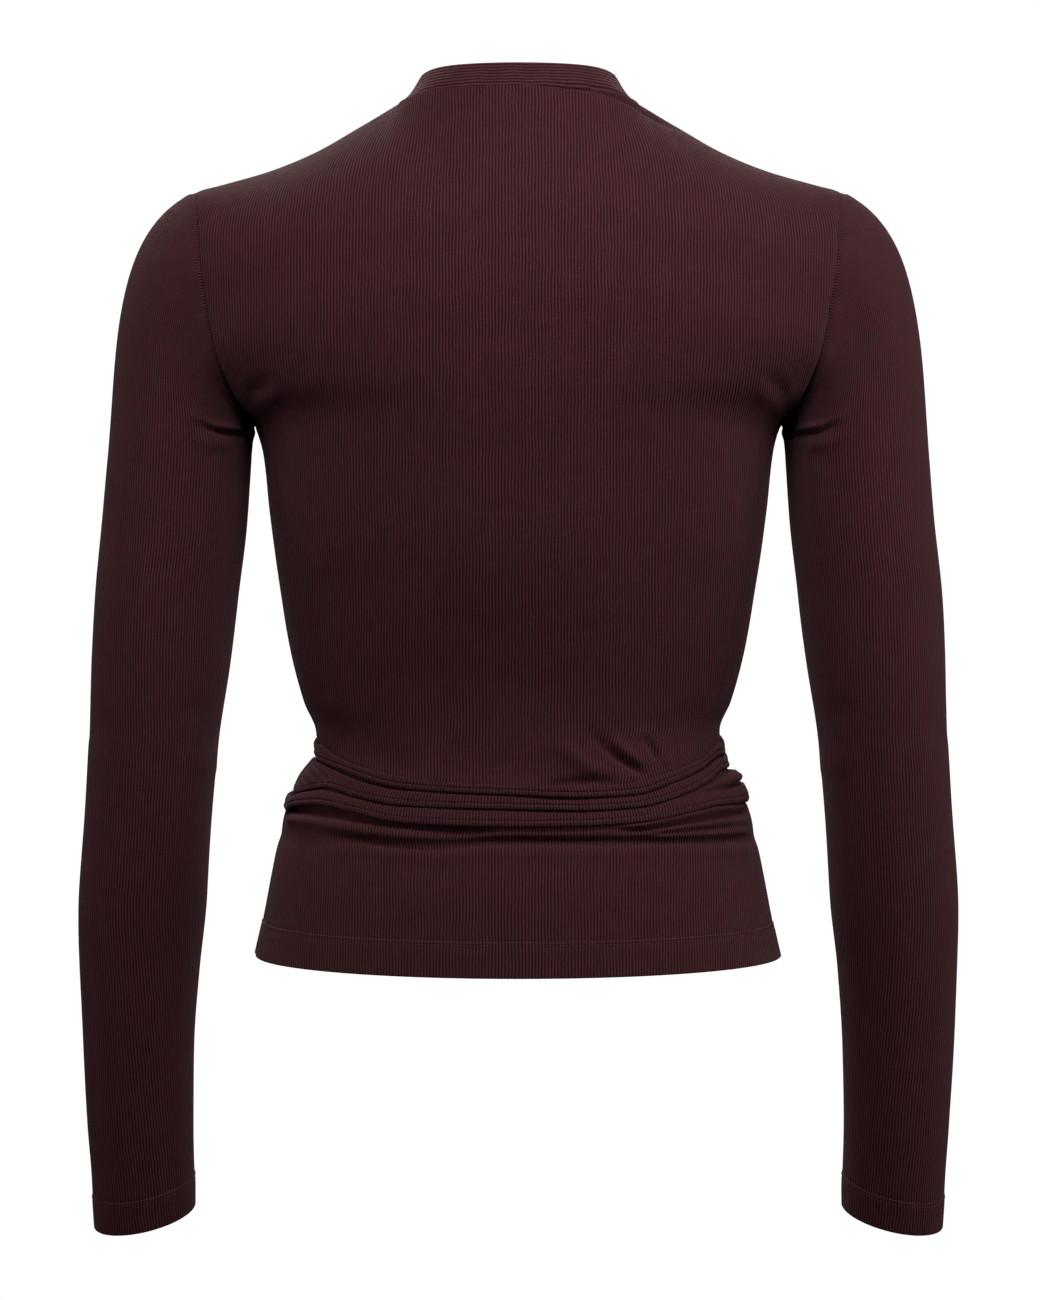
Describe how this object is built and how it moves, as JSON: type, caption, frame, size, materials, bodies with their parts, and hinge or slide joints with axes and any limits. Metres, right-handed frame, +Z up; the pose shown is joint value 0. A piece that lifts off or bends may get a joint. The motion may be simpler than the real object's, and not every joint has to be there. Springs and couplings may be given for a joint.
{
  "type": "wrap top",
  "caption": "Fitted long-sleeved wrap top in dark burgundy fine rib jersey, V front, high back neck with a neckband, ties wound round the waist and knotted in front",
  "frame": {"origin": "midway between the inner ends of the two shoulder seams, where the garment hangs on its wearer's shoulders", "axes": "+Z up, +X to the wearer's left, -Y the way the wearer faces"},
  "size_m": [0.5106, 0.2274, 0.6734],
  "materials": {
    "rib_jersey": "fine vertical rib, matt with a slight nap",
    "neckband_jersey": "doubled rib, its ribs along the band",
    "tie_jersey": "doubled rib, its ribs across the tie"
  },
  "bodies": {
    "root": {"back": "rib_jersey", "front_left": "rib_jersey", "front_right": "rib_jersey", "sleeve_left": "rib_jersey", "sleeve_right": "rib_jersey", "neckband": "neckband_jersey", "tie_left": "tie_jersey", "tie_right": "tie_jersey", "tie_knot": "tie_jersey", "tie_end_left": "tie_jersey", "tie_end_right": "tie_jersey"}
  },
  "joints": []
}
